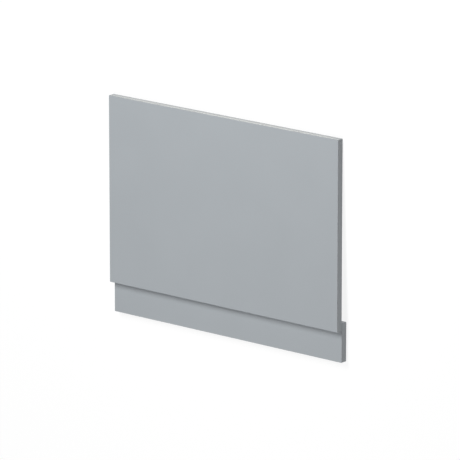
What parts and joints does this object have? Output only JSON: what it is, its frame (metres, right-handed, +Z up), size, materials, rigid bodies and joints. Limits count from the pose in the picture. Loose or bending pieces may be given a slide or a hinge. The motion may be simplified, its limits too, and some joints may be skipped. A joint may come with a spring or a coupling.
{
  "type": "bath end panel",
  "caption": "Flat rectangular panel that closes the end of a bath, with a lower plinth board set back behind its bottom edge.",
  "frame": {"origin": "on the floor, at the middle of the underside of the whole part's box", "axes": "+X along the width; +Y towards the edge that goes under the bath's rim, with the plinth at the -Y end; +Z up, out of the finished face as the part lies face up at its own resting slope"},
  "size_m": [0.73, 0.561, 0.0367],
  "materials": {
    "grey_faced_mdf": "satin",
    "zinc_plated_steel": "satin"
  },
  "bodies": {
    "root": {"panel": "grey_faced_mdf", "plinth": "grey_faced_mdf"}
  },
  "joints": []
}
